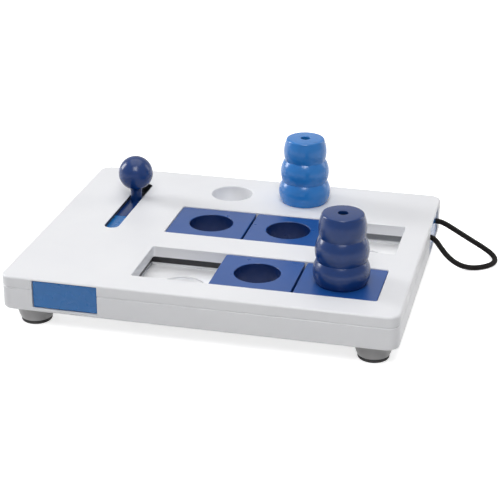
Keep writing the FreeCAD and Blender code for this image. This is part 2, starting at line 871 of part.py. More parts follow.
def rope_drawer(doc, dim):
    """The right drawer: a narrow treat box behind a wider head that houses the rope's knots."""
    body = new_body(doc, "rope_drawer")
    face = side_face(dim)
    back = face - dim.front_skin
    near, far = dim.rope_front_near, dim.rope_front_far
    wall = dim.box_wall
    add(body, "Front", dim.front_low, dim.front_high, rect(back, face, near, far))
    dress(body, "Fillet", "FrontRound", dim.front_edge_round,
          lambda edge: abs(edge.BoundBox.XMin - face.number) < 1e-3)
    add(body, "Head", dim.box_low, dim.rope_box_high,
        rect(dim.rope_head_start, back, near + dim.rope_head_margin, far - dim.rope_head_margin))
    add(body, "Box", dim.box_low, dim.rope_box_high,
        rect(dim.rope_box_end, dim.rope_head_start, dim.rope_box_near, dim.rope_box_far))
    add(body, "StopTab", dim.box_low, dim.stop_high,
        rect(dim.rope_box_end, dim.rope_box_end + wall, dim.stop_near, dim.stop_far))
    margin = dim.rope_head_margin + wall
    cut(body, "HeadRoom", dim.box_low + wall, dim.rope_box_high,
        rect(dim.rope_head_start + wall, back, near + margin, far - margin))
    cut(body, "TreatRoom", dim.box_low + wall, dim.rope_box_high,
        rect(dim.rope_box_end + wall, dim.rope_head_start + wall, dim.rope_box_near + wall,
             dim.rope_box_far - wall))
    bore_rope_holes(body, dim, back)
    return body


def bore_rope_holes(body, dim, back):
    """Two holes through the front plate, bored along the way that the drawer is pulled."""
    sketch = new_sketch(body, "RopeHolesSketch", plane="YZ_Plane", level=back + dim.front_skin)
    for deep in (dim.rope_near, dim.rope_far):
        disc(deep, dim.rope_level, dim.rope_hole_radius)(sketch)
    before = body_volume(body)
    feature = body.newObject("PartDesign::Pocket", "RopeHoles")
    feature.Profile = sketch
    feature.setExpression("Length", dim.front_skin.formula)
    if body_volume(body) >= before - NEAR:
        raise ValueError("the rope holes cut nothing")


def knot(doc, dim, name, deep):
    """A round knot that bears on the back of the drawer's front plate."""
    body = new_body(doc, name)
    flat = dim.knot_flat
    rim = (dim.knot_radius.number ** 2 - dim.knot_flat.number ** 2) ** 0.5
    square = "sqrt(Sizes.knot_radius * Sizes.knot_radius - Sizes.knot_flat * Sizes.knot_flat)"
    turn(body, "Ball", [
        (as_size(0.0), -dim.knot_radius, dim.knot_radius, 1),
        (dim.knot_radius, as_size(0.0), dim.knot_radius, 1),
        (Size(rim, square), flat),
        (as_size(0.0), flat),
    ])
    body.Placement = Placement(Vector(), Rotation(Vector(0, 1, 0), 90))
    put(body, side_face(dim) - dim.front_skin - flat, deep, dim.rope_level)
    return body


def arc_bends(points):
    """For each inner point of a route: the two tangent points, the arc's middle and its radius."""
    bends = []
    for before, corner, after in zip(points, points[1:], points[2:]):
        inward, outward = before - corner, after - corner
        half_turn = (math.pi - inward.getAngle(outward)) / 2
        reach = ARC_SHARE * min(inward.Length, outward.Length)
        radius = reach / math.tan(half_turn)
        start = corner + inward.normalize() * reach
        end = corner + outward.normalize() * reach
        bisector = (inward + outward).normalize()
        middle = corner + bisector * (radius / math.cos(half_turn) - radius)
        bends.append((start, middle, end, radius))
    return bends


def rope_path(points):
    """Straight runs joined by tangent arcs."""
    edges = []
    last = points[0]
    for start, middle, end, radius in arc_bends(points):
        edges.append(Part.LineSegment(last, start).toShape())
        edges.append(Part.Arc(start, middle, end).toShape())
        last = end
    edges.append(Part.LineSegment(last, points[-1]).toShape())
    return Part.Wire(edges)


def pull_rope(doc, dim):
    """The pull loop: one round rope along its route."""
    points = [Vector(*point) for point in ROPE_ROUTE]
    radius = dim.rope_diameter.number / 2
    path = rope_path(points)
    ring = Part.Wire(Part.Circle(points[0], points[1] - points[0], radius).toShape())
    solid = path.makePipeShell([ring], True, True)
    expected = math.pi * radius * radius * path.Length
    print("rope length %.1f, volume share %.4f" % (path.Length, solid.Volume / expected))
    print("rope radii", " ".join("%.1f" % bend[3] for bend in arc_bends(points)))
    feature = doc.addObject("Part::Feature", "pull_rope")
    feature.Label = "pull_rope"
    feature.Shape = solid
    return feature


# Feet and screws

def foot(doc, dim, name, across, deep):
    """A round cup, screwed on from inside."""
    body = new_body(doc, "foot_" + name)
    skin_low = dim.case_under - dim.foot_skin
    turn(body, "Cup", [
        (dim.foot_toe_radius - dim.foot_wall, dim.pad_thickness),
        (dim.foot_toe_radius, dim.pad_thickness, dim.foot_swell, 1),
        (dim.foot_radius, dim.foot_shoulder),
        (dim.foot_radius, dim.case_under),
        (dim.shank_hole_radius, dim.case_under),
        (dim.shank_hole_radius, skin_low),
        (dim.foot_radius - dim.foot_wall, skin_low),
    ])
    put(body, across, deep)
    return body


def foot_pad(doc, dim, name, across, deep):
    """A rubber disc whose plug sits in the foot."""
    body = new_body(doc, "foot_pad_" + name)
    zero = as_size(0.0)
    turn(body, "Disc", [
        (zero, zero),
        (dim.pad_radius - dim.pad_round, zero, dim.pad_round, 1),
        (dim.pad_radius, dim.pad_round),
        (dim.pad_radius, dim.pad_thickness),
        (dim.pad_plug_radius, dim.pad_thickness),
        (dim.pad_plug_radius, dim.pad_plug_high),
        (zero, dim.pad_plug_high),
    ])
    put(body, across, deep)
    return body


def screw_solid(across, deep, seat, tip, head_radius, head_height, shank_radius):
    """A pan-head screw that points up, its head under the seat."""
    head = Part.makeCylinder(head_radius.number, head_height.number, Vector(0, 0, -head_height.number))
    rim = [edge for edge in head.Edges if abs(edge.BoundBox.ZMax + head_height.number) < NEAR]
    head = head.makeFillet(head_height.number * 0.4, rim)
    shank = Part.makeCylinder(shank_radius.number, tip.number - seat.number)
    solid = head.fuse(shank).removeSplitter()
    solid.translate(Vector(across.number, deep.number, seat.number))
    return solid


def screw_group(doc, name, solids):
    feature = doc.addObject("Part::Feature", name)
    feature.Label = name
    feature.Shape = Part.makeCompound(solids)
    return feature


def screws(doc, dim):
    """The three sets of like screws."""
    case = [screw_solid(across, deep, dim.counterbore_high, dim.case_screw_high, dim.head_radius,
                        dim.head_height, dim.shank_radius) for across, deep in screw_places(dim)]
    feet = [screw_solid(across, deep, dim.case_under - dim.foot_skin, dim.foot_screw_high,
                        dim.foot_head_radius, dim.foot_head_height, dim.shank_radius)
            for across, deep in foot_places(dim).values()]
    pegs = [screw_solid(dim.lever_middle, deep, dim.peg_low, dim.lever_screw_high,
                        dim.lever_head_radius, dim.lever_head_height, dim.shank_radius)
            for deep in peg_places(dim)]
    return [
        screw_group(doc, "case_screws", case),
        screw_group(doc, "foot_screws", feet),
        screw_group(doc, "lever_screws", pegs),
    ]


def build(doc, dim):
    back, front = dim.back_track_middle, dim.front_track_middle
    left, right = panel_edges(dim)
    pieces = [
        base_shell(doc, dim),
        track(doc, dim, "back_track", back),
        track(doc, dim, "front_track", front, [foot_places(dim)["front_right"]]),
        cover_left(doc, dim),
        cover_right(doc, dim),
        cover_front(doc, dim),
        cover_middle(doc, dim),
        cover_back(doc, dim, "cover_back_left", left, dim.well_left, [dim.well_left], []),
        cover_back(doc, dim, "cover_back_middle", dim.well_left, dim.well_right,
                   [dim.well_left, dim.well_right], ["rear"]),
        cover_back(doc, dim, "cover_back_right", dim.well_right, right, [dim.well_right], ["right"]),
        well_cup(doc, dim, "well_cup_left", dim.well_left),
        well_cup(doc, dim, "well_cup_right", dim.well_right),
        tile(doc, dim, "tile_back_left", dim.tile_back_left, back),
        tile(doc, dim, "tile_back_middle", dim.tile_back_middle, back),
        tile(doc, dim, "tile_front_middle", dim.tile_front_middle, front),
        tile(doc, dim, "tile_front_right", dim.tile_front_right, front),
        cone(doc, dim, "light_cone", dim.well_right, dim.well_row, dim.case_top),
        cone(doc, dim, "dark_cone", dim.tile_front_right, front, dim.tile_top),
        lever_drawer(doc, dim),
        lever(doc, dim),
        rope_drawer(doc, dim),
        pull_rope(doc, dim),
        knot(doc, dim, "rope_knot_near", dim.rope_near),
        knot(doc, dim, "rope_knot_far", dim.rope_far),
    ]
    for name, (across, deep) in foot_places(dim).items():
        pieces.append(foot(doc, dim, name, across, deep))
        pieces.append(foot_pad(doc, dim, name, across, deep))
    pieces += screws(doc, dim)
    return pieces


def check(doc, pieces):
    """Stops before anything is written if an object failed or a piece isn't sound."""
    doc.recompute()
    for thing in doc.Objects:
        if "Invalid" in thing.State or "Error" in thing.State:
            raise ValueError("%s failed: %s" % (thing.Name, thing.State))
    for piece in pieces:
        if piece.Shape.isNull() or not piece.Shape.isValid():
            raise ValueError("%s has no sound shape" % piece.Label)


def main():
    doc = FreeCAD.newDocument("puzzle_feeder")
    cells = all_cells()
    fill_sheet(doc, cells)
    pieces = build(doc, Sizes(cells))
    check(doc, pieces)
    os.makedirs("parts", exist_ok=True)
    for piece in pieces:
        piece.Shape.exportStep("parts/%s.step" % piece.Label)
    print("%d pieces, %d solids" % (len(pieces), sum(len(piece.Shape.Solids) for piece in pieces)))


main()
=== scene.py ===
import json
import math

import bmesh
import bpy
import numpy as np
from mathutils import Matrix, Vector


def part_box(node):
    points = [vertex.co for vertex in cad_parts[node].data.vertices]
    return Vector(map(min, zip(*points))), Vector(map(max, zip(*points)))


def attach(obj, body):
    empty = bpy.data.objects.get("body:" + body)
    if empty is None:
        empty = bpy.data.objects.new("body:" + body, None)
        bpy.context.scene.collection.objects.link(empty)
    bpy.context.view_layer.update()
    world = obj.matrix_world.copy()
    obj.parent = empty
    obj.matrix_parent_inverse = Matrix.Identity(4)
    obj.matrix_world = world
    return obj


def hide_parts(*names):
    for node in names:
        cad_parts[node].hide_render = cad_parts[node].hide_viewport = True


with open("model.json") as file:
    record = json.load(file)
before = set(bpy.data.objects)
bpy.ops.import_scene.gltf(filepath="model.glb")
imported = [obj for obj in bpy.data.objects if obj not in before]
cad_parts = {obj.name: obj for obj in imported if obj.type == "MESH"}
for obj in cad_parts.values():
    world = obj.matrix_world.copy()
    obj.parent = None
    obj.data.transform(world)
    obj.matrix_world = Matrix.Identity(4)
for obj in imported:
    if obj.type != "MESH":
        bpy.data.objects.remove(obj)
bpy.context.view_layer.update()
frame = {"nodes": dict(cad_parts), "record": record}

# Looks of a puzzle feeder for dogs: a flat white case on four feet, navy tiles in two tracks, two ringed
# cones, a ball lever and a rope pull. The object's sizes are in millimetres, and MM turns them into the
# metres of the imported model's frame. The camera's clips, the welds, the floor and the lamps are in metres.

MM = 0.001


def middle_of(node):
    """Where the middle of a CAD node's box lies, across and deep, in millimetres to two decimals."""
    low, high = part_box(node)
    return round((low.x + high.x) / 2 / MM, 2), round((low.y + high.y) / 2 / MM, 2)


# Camera

FRAME_PIXELS = 500
FOCAL_PIXELS = 1476.95
SENSOR_WIDTH = 36.0
NEAR_CLIP, FAR_CLIP = 0.05, 20.0
CAMERA_AZIMUTH = math.radians(13.814)
CAMERA_ELEVATION = math.radians(23.742)
CAMERA_ROLL = math.radians(-0.076)
CAMERA_PLACE = Vector((224.0, -868.7, 418.0)) * MM


def place_camera():
    """A pinhole camera at the photograph's place, turned by its azimuth, elevation and roll."""
    data = bpy.data.cameras.new("camera")
    data.sensor_width = SENSOR_WIDTH
    data.lens = FOCAL_PIXELS / FRAME_PIXELS * SENSOR_WIDTH
    data.clip_start = NEAR_CLIP
    data.clip_end = FAR_CLIP
    camera = bpy.data.objects.new("camera", data)
    bpy.context.scene.collection.objects.link(camera)
    camera.location = CAMERA_PLACE
    camera.rotation_mode = "XYZ"
    camera.rotation_euler = (math.pi / 2 - CAMERA_ELEVATION, CAMERA_ROLL, CAMERA_AZIMUTH)
    bpy.context.scene.camera = camera


# Mesh makers

WELD_DISTANCE = 1e-7
SLIVER_EDGE = 1e-8
BEVEL_STEPS = 3


def link_mesh(name, vertices, faces, smooth=True):
    """A mesh object from arrays of vertices, in metres, and faces."""
    mesh = bpy.data.meshes.new(name)
    mesh.from_pydata(np.asarray(vertices, float).tolist(), [], [list(map(int, face)) for face in faces])
    mesh.validate()
    mesh.update()
    mesh.polygons.foreach_set("use_smooth", np.full(len(mesh.polygons), smooth))
    piece = bpy.data.objects.new(name, mesh)
    bpy.context.scene.collection.objects.link(piece)
    return piece


def grid_faces(rows, columns, wrap_rows=False, wrap_columns=False, first=0):
    """Quads of a grid of rows by columns of vertices, wrapped round where a direction closes."""
    row = np.arange(rows if wrap_rows else rows - 1)
    column = np.arange(columns if wrap_columns else columns - 1)
    row, column = np.meshgrid(row, column, indexing="ij")
    row, column = row.ravel(), column.ravel()
    down, along = (row + 1) % rows, (column + 1) % columns
    quads = np.stack([row * columns + column, row * columns + along,
                      down * columns + along, down * columns + column], 1)
    return quads + first


def tube_faces(rings, sides, first):
    """The quads of a tube and the two faces that close its ends."""
    faces = [list(quad) for quad in grid_faces(rings, sides, wrap_columns=True, first=first)]
    faces.append([first + side for side in range(sides)][::-1])
    last = first + (rings - 1) * sides
    faces.append([last + side for side in range(sides)])
    return faces


def ring_round(line, first, second, sides, wide, thick):
    """Ellipses round the points of a line: a point is line + wide cos a first + thick sin a second."""
    angle = np.linspace(0.0, 2 * math.pi, sides, endpoint=False)
    return (line[:, None, :]
            + first[:, None, :] * (np.cos(angle) * wide)[None, :, None]
            + second[:, None, :] * (np.sin(angle) * thick)[None, :, None])


def unit(vectors):
    """Vectors shortened to length 1."""
    return vectors / np.linalg.norm(vectors, axis=1)[:, None]


def arc(start, end, radius, steps):
    """Points of a circle of a radius from start to end, swelling to the right of the way: the middle of
    the chord is moved to the left by sqrt(radius^2 - half chord^2) to find the circle's centre, and the
    angle between the ends is shared out evenly."""
    start, end = np.array(start, float), np.array(end, float)
    chord = end - start
    half = np.linalg.norm(chord) / 2
    right = np.array([chord[1], -chord[0]]) / (2 * half)
    centre = (start + end) / 2 - right * math.sqrt(max(radius * radius - half * half, 0.0))
    first = math.atan2(*(start - centre)[::-1])
    turn = 2 * math.asin(min(half / radius, 1.0))
    angle = first + np.linspace(0.0, turn, steps + 1)
    return centre + radius * np.stack([np.cos(angle), np.sin(angle)], 1)


def turned(name, profile, across, deep, segments):
    """A profile of (radius, level) points turned about an upright axis. A point goes to
    (across + radius cos a, deep + radius sin a, level)."""
    profile = np.array(profile, float)
    angle = np.linspace(0.0, 2 * math.pi, segments, endpoint=False)
    radius, level = profile[:, :1], profile[:, 1:]
    points = np.stack([across + radius * np.cos(angle), deep + radius * np.sin(angle),
                       level + 0 * angle], 2) * MM
    piece = link_mesh(name, points.reshape(-1, 3),
                      grid_faces(len(profile), segments, wrap_columns=True))
    merge_doubles(piece)
    return piece


def merge_doubles(piece):
    """Welds points that coincide, drops slivers and turns the faces outwards."""
    work = bmesh.new()
    work.from_mesh(piece.data)
    bmesh.ops.remove_doubles(work, verts=work.verts, dist=WELD_DISTANCE)
    bmesh.ops.dissolve_degenerate(work, edges=work.edges, dist=SLIVER_EDGE)
    bmesh.ops.recalc_face_normals(work, faces=work.faces)
    work.to_mesh(piece.data)
    work.free()


def soften(piece, width, angle):
    """Rounds the edges of a piece that are sharper than an angle, by a width in millimetres."""
    bevel = piece.modifiers.new("soft_edges", "BEVEL")
    bevel.width = width * MM
    bevel.segments = BEVEL_STEPS
    bevel.limit_method = "ANGLE"
    bevel.angle_limit = math.radians(angle)
    bevel.harden_normals = True


# Materials

PLASTIC_IOR = 1.49
NOISE_LOW, NOISE_HIGH = 0.3, 0.7
NOISE_ROUGHNESS = 0.5


def new_material(name):
    """A material with its nodes, its links and its plain shader."""
    material = bpy.data.materials.new(name)
    material.use_nodes = True
    nodes = material.node_tree.nodes
    return material, nodes, material.node_tree.links, nodes["Principled BSDF"]


def noise(nodes, links, scale, detail=3.0):
    """Noise over Object coordinates."""
    place = nodes.new("ShaderNodeTexCoord")
    texture = nodes.new("ShaderNodeTexNoise")
    texture.inputs["Scale"].default_value = scale
    texture.inputs["Detail"].default_value = detail
    texture.inputs["Roughness"].default_value = NOISE_ROUGHNESS
    links.new(place.outputs["Object"], texture.inputs["Vector"])
    return texture.outputs["Fac"]


def ramp(nodes, links, value, from_low, from_high, to_low, to_high):
    """Maps a range of a value to another range and clamps it there."""
    node = nodes.new("ShaderNodeMapRange")
    node.inputs["From Min"].default_value = from_low
    node.inputs["From Max"].default_value = from_high
    node.inputs["To Min"].default_value = to_low
    node.inputs["To Max"].default_value = to_high
    links.new(value, node.inputs["Value"])
    return node.outputs["Result"]


def spread(nodes, links, value, low, high):
    """Maps a noise, which stays near a half, to a range of numbers."""
    return ramp(nodes, links, value, NOISE_LOW, NOISE_HIGH, low, high)


def colour_mix(nodes):
    """A node that mixes two colours by a factor."""
    mix = nodes.new("ShaderNodeMix")
    mix.data_type = "RGBA"
    return mix


def mottle(nodes, links, shader, deep, pale, scale, detail):
    """A colour that wanders between a deep and a pale tone."""
    mix = colour_mix(nodes)
    mix.inputs["A"].default_value = (*deep, 1.0)
    mix.inputs["B"].default_value = (*pale, 1.0)
    links.new(spread(nodes, links, noise(nodes, links, scale, detail), 0.0, 1.0), mix.inputs["Factor"])
    links.new(mix.outputs["Result"], shader.inputs["Base Color"])


def uneven_gloss(nodes, links, shader, low, high, scale):
    """A roughness that wanders between two numbers."""
    links.new(spread(nodes, links, noise(nodes, links, scale), low, high), shader.inputs["Roughness"])


def grain(nodes, links, shader, strength, depth, scale, detail):
    """A fine bump, with its depth in metres."""
    bump = nodes.new("ShaderNodeBump")
    bump.inputs["Strength"].default_value = strength
    bump.inputs["Distance"].default_value = depth
    links.new(noise(nodes, links, scale, detail), bump.inputs["Height"])
    links.new(bump.outputs["Normal"], shader.inputs["Normal"])


def moulded_plastic(name, pale, deep, gloss, spark=0.06, specular=0.5):
    """Injection-moulded plastic: a faint flow mottle in the colour, uneven gloss, and the fine spark
    grain of the mould as bump."""
    material, nodes, links, shader = new_material(name)
    mottle(nodes, links, shader, deep, pale, scale=26.0, detail=4.0)
    uneven_gloss(nodes, links, shader, *gloss, scale=90.0)
    grain(nodes, links, shader, strength=spark, depth=0.0002, scale=2600.0, detail=2.0)
    shader.inputs["IOR"].default_value = PLASTIC_IOR
    shader.inputs["Specular IOR Level"].default_value = specular
    return material


def rubber(name):
    """Matt black rubber with a chalky bloom and a coarse grain."""
    material, nodes, links, shader = new_material(name)
    mottle(nodes, links, shader, deep=(0.012, 0.012, 0.013), pale=(0.035, 0.034, 0.034),
           scale=140.0, detail=5.0)
    uneven_gloss(nodes, links, shader, low=0.6, high=0.8, scale=300.0)
    grain(nodes, links, shader, strength=0.25, depth=0.0003, scale=1500.0, detail=3.0)
    return material


def braid_yarn(name):
    """Black polyester yarn: fine filaments that shine a little, some a touch lighter or darker."""
    material, nodes, links, shader = new_material(name)
    mottle(nodes, links, shader, deep=(0.003, 0.0025, 0.0025), pale=(0.016, 0.013, 0.012),
           scale=900.0, detail=4.0)
    uneven_gloss(nodes, links, shader, low=0.5, high=0.75, scale=2000.0)
    grain(nodes, links, shader, strength=0.5, depth=0.0001, scale=5000.0, detail=3.0)
    shader.inputs["Specular IOR Level"].default_value = 0.14
    shader.inputs["Sheen Weight"].default_value = 0.03
    shader.inputs["Sheen Roughness"].default_value = 0.5
    return material


def zinc(name):
    """Bright zinc on a screw, with a cloudy tone and an uneven gloss."""
    material, nodes, links, shader = new_material(name)
    mottle(nodes, links, shader, deep=(0.46, 0.47, 0.49), pale=(0.62, 0.62, 0.63),
           scale=400.0, detail=4.0)
    uneven_gloss(nodes, links, shader, low=0.25, high=0.4, scale=1200.0)
    shader.inputs["Metallic"].default_value = 1.0
    return material


def vector_step(nodes, links, operation, vector, numbers=None):
    """One step of vector arithmetic."""
    step = nodes.new("ShaderNodeVectorMath")
    step.operation = operation
    links.new(vector, step.inputs[0])
    if numbers is not None:
        step.inputs[1].default_value = numbers
    return step.outputs["Value" if operation == "LENGTH" else "Vector"]


def larger(nodes, links, one, other):
    """The larger of two values."""
    step = nodes.new("ShaderNodeMath")
    step.operation = "MAXIMUM"
    links.new(one, step.inputs[0])
    links.new(other, step.inputs[1])
    return step.outputs["Value"]


def mask_within(nodes, links, low, high, drum, soft):
    """1 within a box, or within the upright drum that fits it, and 0 outside. The position is counted in
    half sizes from the middle, as (x, y, z). A box compares the largest of |x|, |y| and |z| with 1, and a
    drum the larger of sqrt(x^2 + y^2) and |z|."""
    low, high = np.array(low) * MM, np.array(high) * MM
    place = nodes.new("ShaderNodeTexCoord").outputs["Object"]
    place = vector_step(nodes, links, "SUBTRACT", place, (low + high) / 2)
    place = vector_step(nodes, links, "DIVIDE", place, (high - low) / 2)
    parts = nodes.new("ShaderNodeSeparateXYZ")
    links.new(vector_step(nodes, links, "ABSOLUTE", place), parts.inputs["Vector"])
    if drum:
        flat = vector_step(nodes, links, "MULTIPLY", place, (1.0, 1.0, 0.0))
        reach = vector_step(nodes, links, "LENGTH", flat)
    else:
        reach = larger(nodes, links, parts.outputs["X"], parts.outputs["Y"])
    reach = larger(nodes, links, reach, parts.outputs["Z"])
    return ramp(nodes, links, reach, 1.0 + soft, 1.0 - soft, 0.0, 1.0)


def with_painted_light_and_shade(name, base, regions):
    """A finish with painted shade and painted light laid over some regions of the piece. A region is its
    tone, its two corners, whether it is a drum, how soft its edge is in half sizes, and whether the tone
    lies outside it."""
    material = base.copy()
    material.name = name
    nodes, links = material.node_tree.nodes, material.node_tree.links
    shader = nodes["Principled BSDF"]
    for tone, low, high, drum, soft, outside in regions:
        colour = shader.inputs["Base Color"].links[0].from_socket
        mix = colour_mix(nodes)
        own, new = ("B", "A") if outside else ("A", "B")
        links.new(colour, mix.inputs[own])
        mix.inputs[new].default_value = (*tone, 1.0)
        links.new(mask_within(nodes, links, low, high, drum, soft), mix.inputs["Factor"])
        links.new(mix.outputs["Result"], shader.inputs["Base Color"])
    return material


def dress(piece, material):
    """Gives a piece one material."""
    piece.data.materials.clear()
    piece.data.materials.append(material)


# Finishes

white = moulded_plastic("white_plastic", (0.80, 0.805, 0.825), (0.775, 0.78, 0.805), (0.34, 0.44), 0.05)
grey = moulded_plastic("grey_plastic", (0.44, 0.435, 0.44), (0.38, 0.376, 0.38), (0.30, 0.40), 0.08)
light_blue = moulded_plastic("light_blue_plastic", (0.016, 0.190, 0.56), (0.014, 0.175, 0.52), (0.20, 0.27))
# Painted shade: the drawers are the same light blue plastic as the light cone, given this darker copy of its
# colour.
painted_shade_drawer_blue = moulded_plastic("drawer_plastic_painted_shade", (0.006, 0.145, 0.44), (0.005, 0.130, 0.40), (0.24, 0.31))
navy = moulded_plastic("navy_plastic", (0.004, 0.035, 0.165), (0.0035, 0.031, 0.148), (0.20, 0.27),
                       specular=0.40)
tile_navy = moulded_plastic("tile_plastic", (0.010, 0.072, 0.29), (0.008, 0.064, 0.26), (0.27, 0.34))
yarn = braid_yarn("rope")

FINISH_OF_SLOT = {
    "white_plastic": white,
    "grey_plastic": grey,
    "light_blue_plastic": light_blue,
    "navy_plastic": navy,
    "black_rubber": rubber("black_rubber"),
    "rope": yarn,
    "screw_steel": zinc("screw_steel"),
}

# Painted shade and painted light inside the case: painted shade under the lids' rims over the trays'
# channels, on the sides of the lever's slot, in the trays' round recesses and in the tiles' holes, and
# painted light on the trays' beds. An edge is soft over a share of the region's half size.

# Painted shade: near black where the front lid covers its channel and in the lever's slot, grey where the
# back lid covers its channel.
PAINTED_SHADE = (0.045, 0.045, 0.050)
PAINTED_HALF_SHADE = (0.26, 0.27, 0.29)
# Painted light: the trays' beds are made paler than the white plastic, low down inside the tracks.
PAINTED_BED_LIGHT = (0.93, 0.935, 0.945)
# Painted shade: the trays' round recesses are a little darker than their beds.
PAINTED_RECESS_SHADE = (0.74, 0.745, 0.76)
# Painted shade: the tiles' navy goes darker inside their holes.
PAINTED_HOLE_SHADE = (0.003, 0.021, 0.11)
CRISP, SOFT = 0.01, 0.05
WINDOW_HALF_LENGTH = 77.0
WINDOW_HALF_WIDTH = 23.3
WINDOW_MARGIN = 1.0
WINDOW_HIGH = 60.0
BED_LEFT, BED_RIGHT = -60.0, 120.0
BED_MARGIN = 10.0
BED_REACH = 21.7
RECESS_PITCH = 51.3
RECESS_RADIUS = 15.0
RECESS_HIGH = 19.97
SLOT_HALF_WIDTH = 5.25
SLOT_FRONT, SLOT_BACK = -11.0, 73.4
SLOT_LOW, SLOT_HIGH = 20.0, 35.2
HOLE_RADIUS = 14.9
HOLE_LOW, HOLE_HIGH = 18.0, 34.7
# The front track gets the near black painted shade and the back track the grey one. The back track's painted
# bed light has the softer edge.
TRACKS = (("front_track", PAINTED_SHADE, CRISP), ("back_track", PAINTED_HALF_SHADE, SOFT))
TILES = ("tile_back_left", "tile_back_middle", "tile_front_middle", "tile_front_right")


def round_region(tone, across, deep, radius, low, high):
    """An upright round region, as toned reads it."""
    return (tone, (across - radius, deep - radius, low), (across + radius, deep + radius, high),
            True, CRISP, False)


def track_finish(name, shade, soft):
    """A tray's plastic with painted light and shade: dark painted shade where the lid covers its channel,
    painted light that makes its bed paler, and painted shade that makes the round recesses a little darker."""
    across, deep = middle_of(name)
    reach = WINDOW_HALF_LENGTH + WINDOW_MARGIN
    front, back = deep - WINDOW_HALF_WIDTH, deep + WINDOW_HALF_WIDTH
    window = (shade, (across - reach, front, 0.0), (across + reach, back + WINDOW_MARGIN, WINDOW_HIGH),
              False, CRISP, True)
    bed = (PAINTED_BED_LIGHT, (BED_LEFT, front - BED_MARGIN, 0.0), (BED_RIGHT, back + BED_MARGIN, BED_REACH),
           False, soft, False)
    recesses = [round_region(PAINTED_RECESS_SHADE, across + RECESS_PITCH * step, deep, RECESS_RADIUS, 0.0,
                             RECESS_HIGH)
                for step in (-1, 0, 1)]
    return with_painted_light_and_shade(name + "_plastic", white, [window, bed] + recesses)


def slot_finish():
    """The lid's left panel, with near black painted shade on the sides of the lever's slot."""
    middle = middle_of("lever")[0]
    slot = (PAINTED_SHADE, (middle - SLOT_HALF_WIDTH, SLOT_FRONT, SLOT_LOW),
            (middle + SLOT_HALF_WIDTH, SLOT_BACK, SLOT_HIGH), False, CRISP, False)
    return with_painted_light_and_shade("slot_plastic", white, [slot])


def tile_finish(name):
    """A tile's plastic, with painted shade that makes it darker inside its hole."""
    hole = round_region(PAINTED_HOLE_SHADE, *middle_of(name), HOLE_RADIUS, HOLE_LOW, HOLE_HIGH)
    return with_painted_light_and_shade(name + "_plastic", tile_navy, [hole])


def own_finishes():
    """The nodes whose finish differs from that of their slot."""
    finishes = {name: track_finish(name, shade, soft) for name, shade, soft in TRACKS}
    finishes |= {name: tile_finish(name) for name in TILES}
    finishes["cover_left"] = slot_finish()
    # The drawers wear the darker painted shade copy of the light blue.
    finishes["lever_drawer"] = finishes["rope_drawer"] = painted_shade_drawer_blue
    return finishes


def dress_nodes():
    """Every CAD node gets its own finish, or that of its slot."""
    finishes = own_finishes()
    for entry in frame["record"]["subparts"]:
        node = entry["node"]
        dress(frame["nodes"][node], finishes.get(node, FINISH_OF_SLOT[entry["material_slot"]]))


# Cones

CONES = (("light_cone", "light_blue_plastic"), ("dark_cone", "navy_plastic"))
CONE_SEGMENTS = 128
CONE_EDGE_ROUND = 0.35
CONE_SHARP_ANGLE = 25.0
CONE_TOP = 45.7
CONE_CEILING = 43.5
SPIGOT_LONG = 2.5
SPIGOT_RADIUS = 13.7
SPIGOT_LEAD_IN = 0.2
BORE_FOOT_RADIUS = 12.3
BORE_HEAD_RADIUS = 10.4
VENT_RADIUS = 3.2
VENT_EDGE = 0.3
CREASES = [(15.6, 0.0), (15.4, 15.2), (14.0, 30.4), (13.2, 44.1), (11.6, CONE_TOP)]
SWELL_RADII = (14.0, 16.0, 22.0, 1.6)
SWELL_STEPS = (22, 22, 18, 6)


def cone_profile(seat):
    """The cone's outline from the foot of its bore up the outside and back down the bore: three swelling
    rings between creases, a round shoulder, a flat top with a vent. Levels count from the seat."""
    foot = -SPIGOT_LONG
    spigot = [(BORE_FOOT_RADIUS, foot), (SPIGOT_RADIUS - SPIGOT_LEAD_IN, foot),
              (SPIGOT_RADIUS, foot + SPIGOT_LEAD_IN), (SPIGOT_RADIUS, 0.0)]
    swells = [arc(*swell) for swell in zip(CREASES, CREASES[1:], SWELL_RADII, SWELL_STEPS)]
    vent = [(VENT_RADIUS + VENT_EDGE, CONE_TOP), (VENT_RADIUS, CONE_TOP - VENT_EDGE),
            (VENT_RADIUS, CONE_CEILING)]
    bore = [(BORE_HEAD_RADIUS, CONE_CEILING), (BORE_FOOT_RADIUS, foot)]
    return np.concatenate([spigot] + swells + [vent, bore]) + np.array([0.0, seat])


def make_cones():
    """The two cones, turned finely, in place of their CAD nodes."""
    for name, slot in CONES:
        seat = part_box(name)[0].z / MM + SPIGOT_LONG
        piece = turned(name + "_rings", cone_profile(seat), *middle_of(name), CONE_SEGMENTS)
        soften(piece, CONE_EDGE_ROUND, CONE_SHARP_ANGLE)
        dress(piece, FINISH_OF_SLOT[slot])
        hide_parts(name)
        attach(piece, name)


# Rope

ROPE_DIAMETER = 3.8
ROPE_ROUTE = [
    (122.0, 46.2, 26.5),
    (125.4, 46.2, 26.5),
    (128.6, 46.4, 23.8),
    (131.6, 47.4, 19.0),
    (135.2, 49.6, 13.2),
    (140.0, 52.2, 7.6),
    (146.2, 54.8, 3.4),
    (153.0, 57.0, 1.95),
    (160.0, 60.4, 1.95),
    (165.4, 66.4, 1.95),
    (167.2, 73.8, 1.95),
    (164.4, 80.4, 3.2),
    (158.0, 82.4, 6.6),
    (150.6, 80.8, 11.4),
    (143.4, 78.4, 16.6),
    (136.6, 76.4, 21.4),
    (130.6, 75.4, 25.2),
    (126.2, 75.4, 26.5),
    (122.0, 75.4, 26.5),
]
ROUTE_RESOLUTION = 32
STRANDS_EACH_WAY = 8
BRAID_PITCH = 10.0
BRAID_STEP = 0.22
STRAND_WIDTH = 1.05
STRAND_THICKNESS = 0.46
STRAND_SIDES = 6
